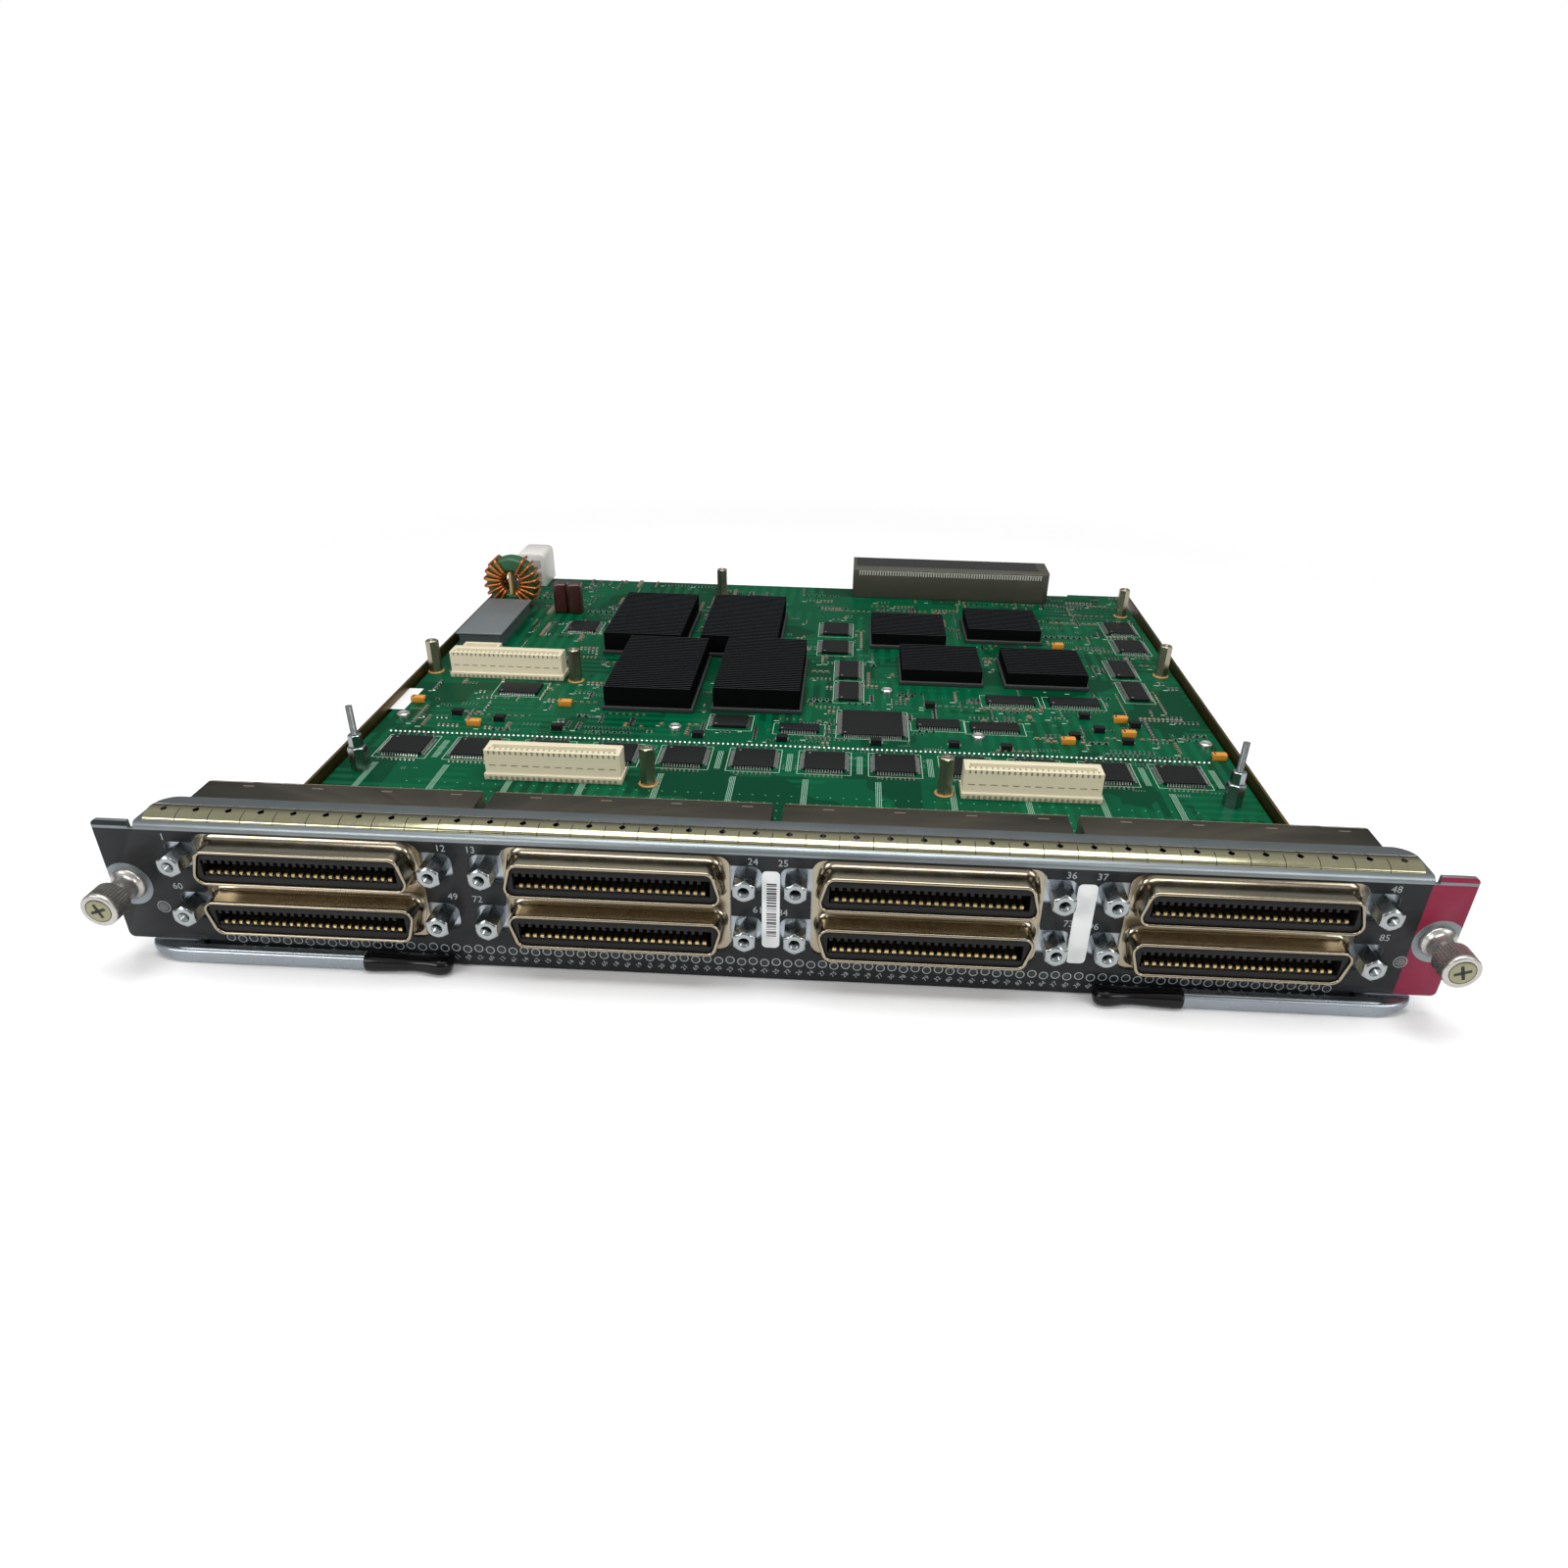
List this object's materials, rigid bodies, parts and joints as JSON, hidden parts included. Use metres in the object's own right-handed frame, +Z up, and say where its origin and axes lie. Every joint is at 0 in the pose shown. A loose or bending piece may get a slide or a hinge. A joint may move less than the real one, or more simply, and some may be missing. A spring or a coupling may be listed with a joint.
{
  "type": "switch line card",
  "caption": "Chassis line card: faceplate with stacked ribbon-cable sockets, ejector levers and captive screws, and a tray with a populated circuit board.",
  "frame": {"origin": "middle of the faceplate's front, on the plane that the tray rests on", "axes": "+X to the right seen from the front, +Y from the faceplate to the backplane connector, +Z up"},
  "size_m": [0.391, 0.4122, 0.0474],
  "materials": {
    "face_paint": "satin powder coat",
    "spring_bronze": "bright tin",
    "zinc_sheet": "clear zinc",
    "tray_sheet": "yellow chromate",
    "board_mask": "solder mask over glass cloth",
    "nickel_sheet": "dull nickel",
    "nickel_shell": "nickel",
    "black_moulding": "moulded",
    "gold_contact": "gold flash",
    "jack_steel": "nickel",
    "lever_zinc": "blue zinc",
    "grip_vinyl": "dipped gloss",
    "knob_steel": "nickel",
    "sink_black": "black anodised",
    "package": "moulded",
    "cream_moulding": "moulded",
    "post_nickel": "nickel",
    "chip_moulding": "moulded epoxy",
    "tantalum_orange": "moulded epoxy",
    "film_brown": "dipped epoxy",
    "module_grey": "matt",
    "core_green": "epoxy coated",
    "winding_copper": "enamelled",
    "white_moulding": "moulded",
    "grey_moulding": "moulded"
  },
  "bodies": {
    "card": {"faceplate": "face_paint", "emi_finger_strip": "spring_bronze", "backing_plate": "zinc_sheet", "carrier_tray": "tray_sheet", "main_board": "board_mask", "board_screws": "post_nickel", "board_standoffs": "post_nickel", "shield_can_1": "nickel_sheet", "port_shell_1": "nickel_shell", "port_housing_1": "black_moulding", "port_contacts_1": "gold_contact", "heat_sink_large_1": "sink_black", "heat_sink_small_1": "sink_black", "shield_can_2": "nickel_sheet", "port_shell_2": "nickel_shell", "port_housing_2": "black_moulding", "port_contacts_2": "gold_contact", "heat_sink_large_2": "sink_black", "heat_sink_small_2": "sink_black", "shield_can_3": "nickel_sheet", "port_shell_3": "nickel_shell", "port_housing_3": "black_moulding", "port_contacts_3": "gold_contact", "heat_sink_large_3": "sink_black", "heat_sink_small_3": "sink_black", "shield_can_4": "nickel_sheet", "port_shell_4": "nickel_shell", "port_housing_4": "black_moulding", "port_contacts_4": "gold_contact", "heat_sink_large_4": "sink_black", "heat_sink_small_4": "sink_black", "jackscrews": "jack_steel", "ferrule_left": "knob_steel", "ferrule_right": "knob_steel", "lever_pivots": "lever_zinc", "chip_packages": "package", "daughter_connector_1": "cream_moulding", "daughter_connector_2": "cream_moulding", "daughter_connector_3": "cream_moulding", "standoff_posts": "post_nickel", "stud_posts": "post_nickel", "port_chips": "chip_moulding", "logic_chips": "chip_moulding", "tantalum_capacitors": "tantalum_orange", "film_capacitors": "film_brown", "power_module": "module_grey", "toroid_core": "core_green", "toroid_winding": "winding_copper", "power_connector": "white_moulding", "backplane_connector": "grey_moulding"},
    "lever_body_left": {"lever_left": "lever_zinc", "grip_left": "grip_vinyl"},
    "ring_body_left": {"retaining_ring_left": "knob_steel"},
    "screw_body_left": {"captive_screw_left": "knob_steel", "thumb_knob_left": "knob_steel"},
    "lever_body_right": {"lever_right": "lever_zinc", "grip_right": "grip_vinyl"},
    "ring_body_right": {"retaining_ring_right": "knob_steel"},
    "screw_body_right": {"captive_screw_right": "knob_steel", "thumb_knob_right": "knob_steel"}
  },
  "joints": [
    {"name": "lever_swing_left", "type": "hinge", "parent": "card", "child": "lever_body_left", "pos_m": [-0.177, 0.009, 0.004], "axis": [0, 0, -1], "range_deg": [0, 55]},
    {"name": "captive_slide_left", "type": "slide", "parent": "card", "child": "ring_body_left", "axis": [0, 1, 0], "range_m": [0, 0.005]},
    {"name": "captive_spin_left", "type": "hinge", "parent": "ring_body_left", "child": "screw_body_left", "pos_m": [-0.1903, 0, 0.0244], "axis": [0, 1, 0], "continuous": true},
    {"name": "lever_swing_right", "type": "hinge", "parent": "card", "child": "lever_body_right", "pos_m": [0.177, 0.009, 0.004], "axis": [0, 0, 1], "range_deg": [0, 55]},
    {"name": "captive_slide_right", "type": "slide", "parent": "card", "child": "ring_body_right", "axis": [0, 1, 0], "range_m": [0, 0.005]},
    {"name": "captive_spin_right", "type": "hinge", "parent": "ring_body_right", "child": "screw_body_right", "pos_m": [0.1903, 0, 0.0244], "axis": [0, 1, 0], "continuous": true}
  ]
}
